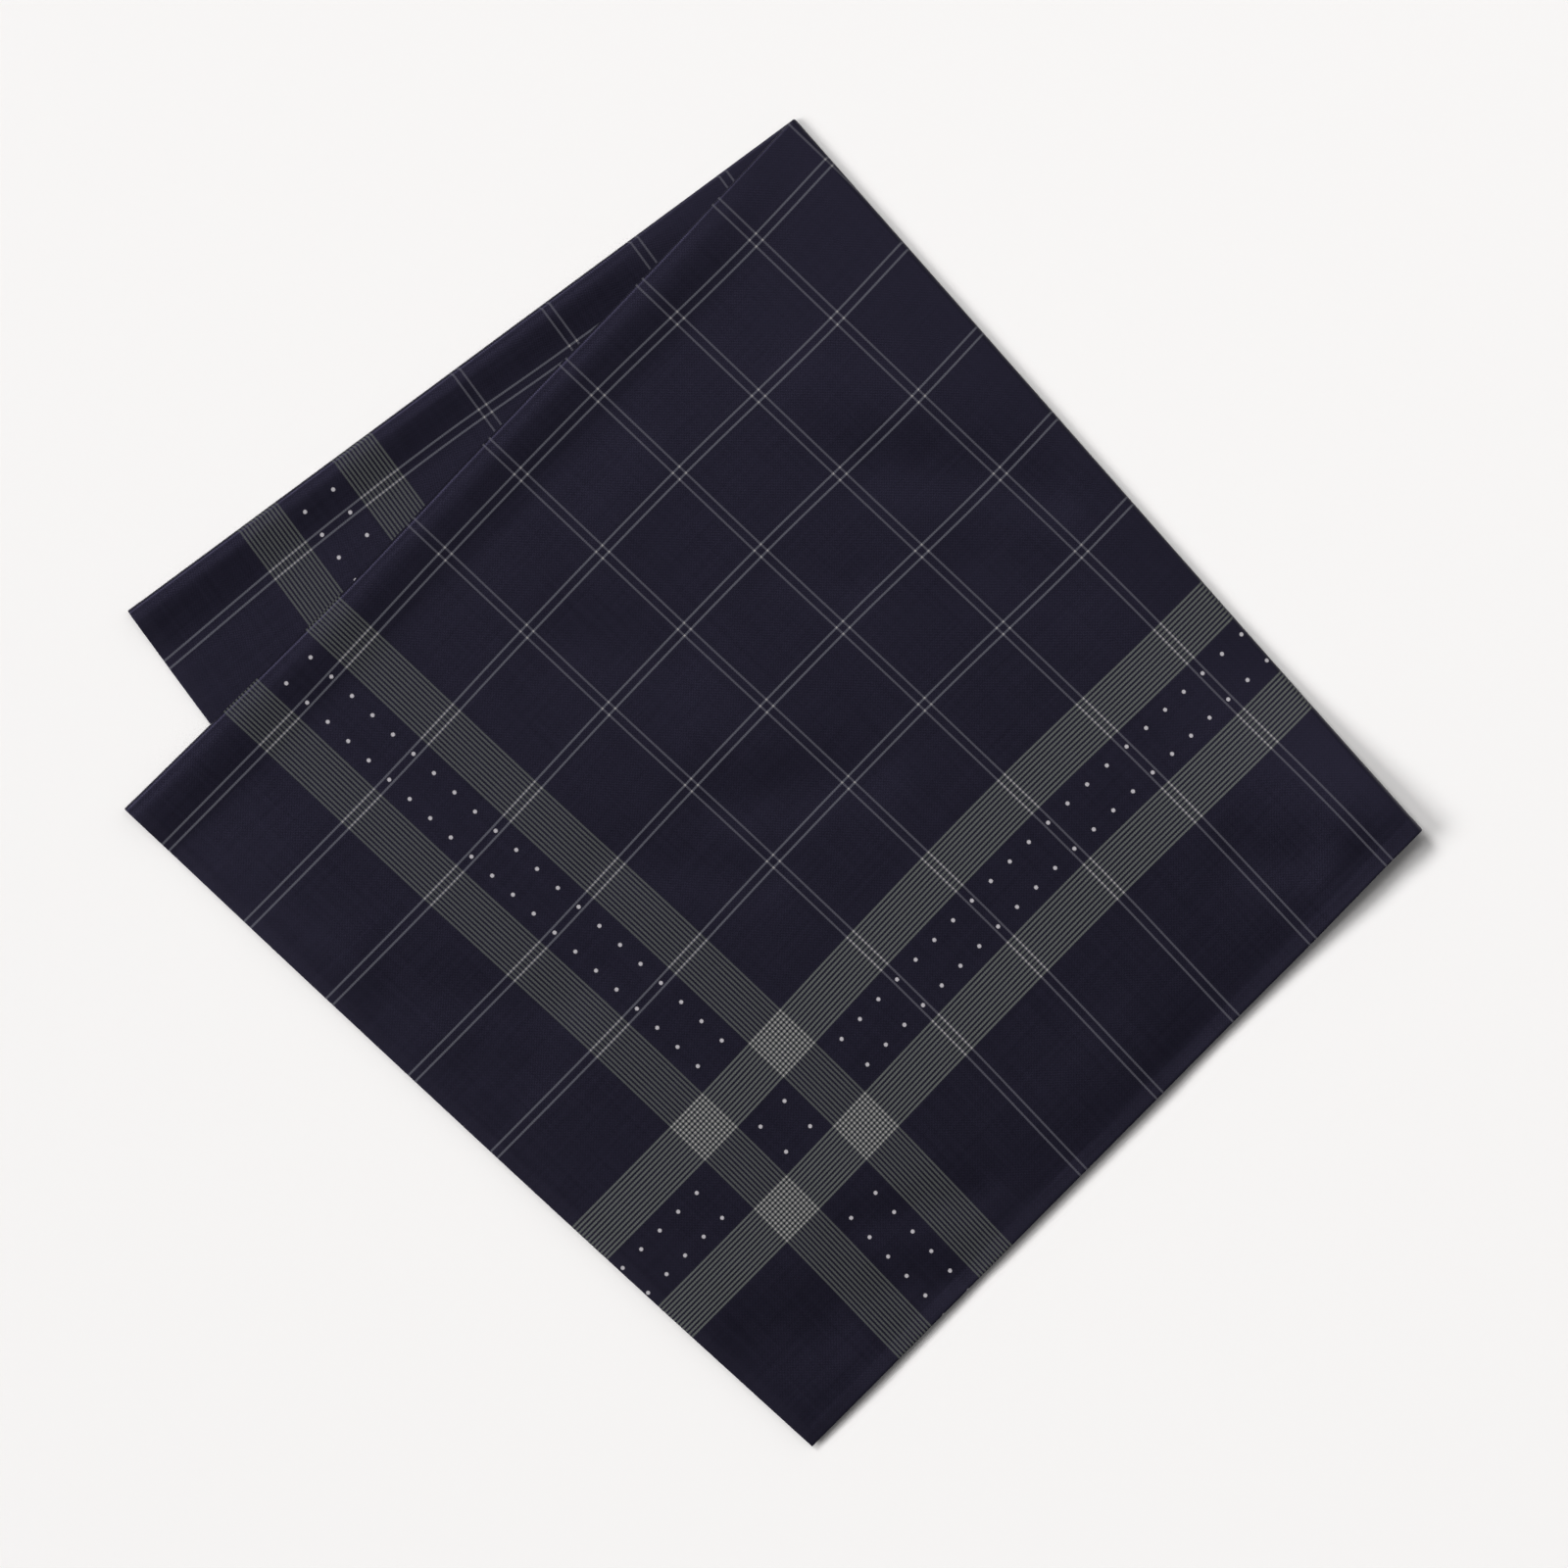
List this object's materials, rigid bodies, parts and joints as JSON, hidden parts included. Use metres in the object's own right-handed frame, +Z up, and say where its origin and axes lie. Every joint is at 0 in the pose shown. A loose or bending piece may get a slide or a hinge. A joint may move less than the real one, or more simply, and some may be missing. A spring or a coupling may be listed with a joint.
{
  "type": "folded square scarf",
  "caption": "Thin square neck scarf folded into quarters and lying flat, its back layers fanned out past one fold.",
  "frame": {"origin": "centre of the bounding box's base, on the surface that the folded scarf lies on", "axes": "+Z up from the surface, -Y towards the lowest corner in the picture, +X towards its right corner"},
  "size_m": [0.3756, 0.3845, 0.0108],
  "materials": {
    "navy_cloth": "fine smooth navy cloth with a weak soft sheen, thin white stripes and small white dots"
  },
  "bodies": {
    "root": {"scarf_cloth": "navy_cloth"}
  },
  "joints": []
}
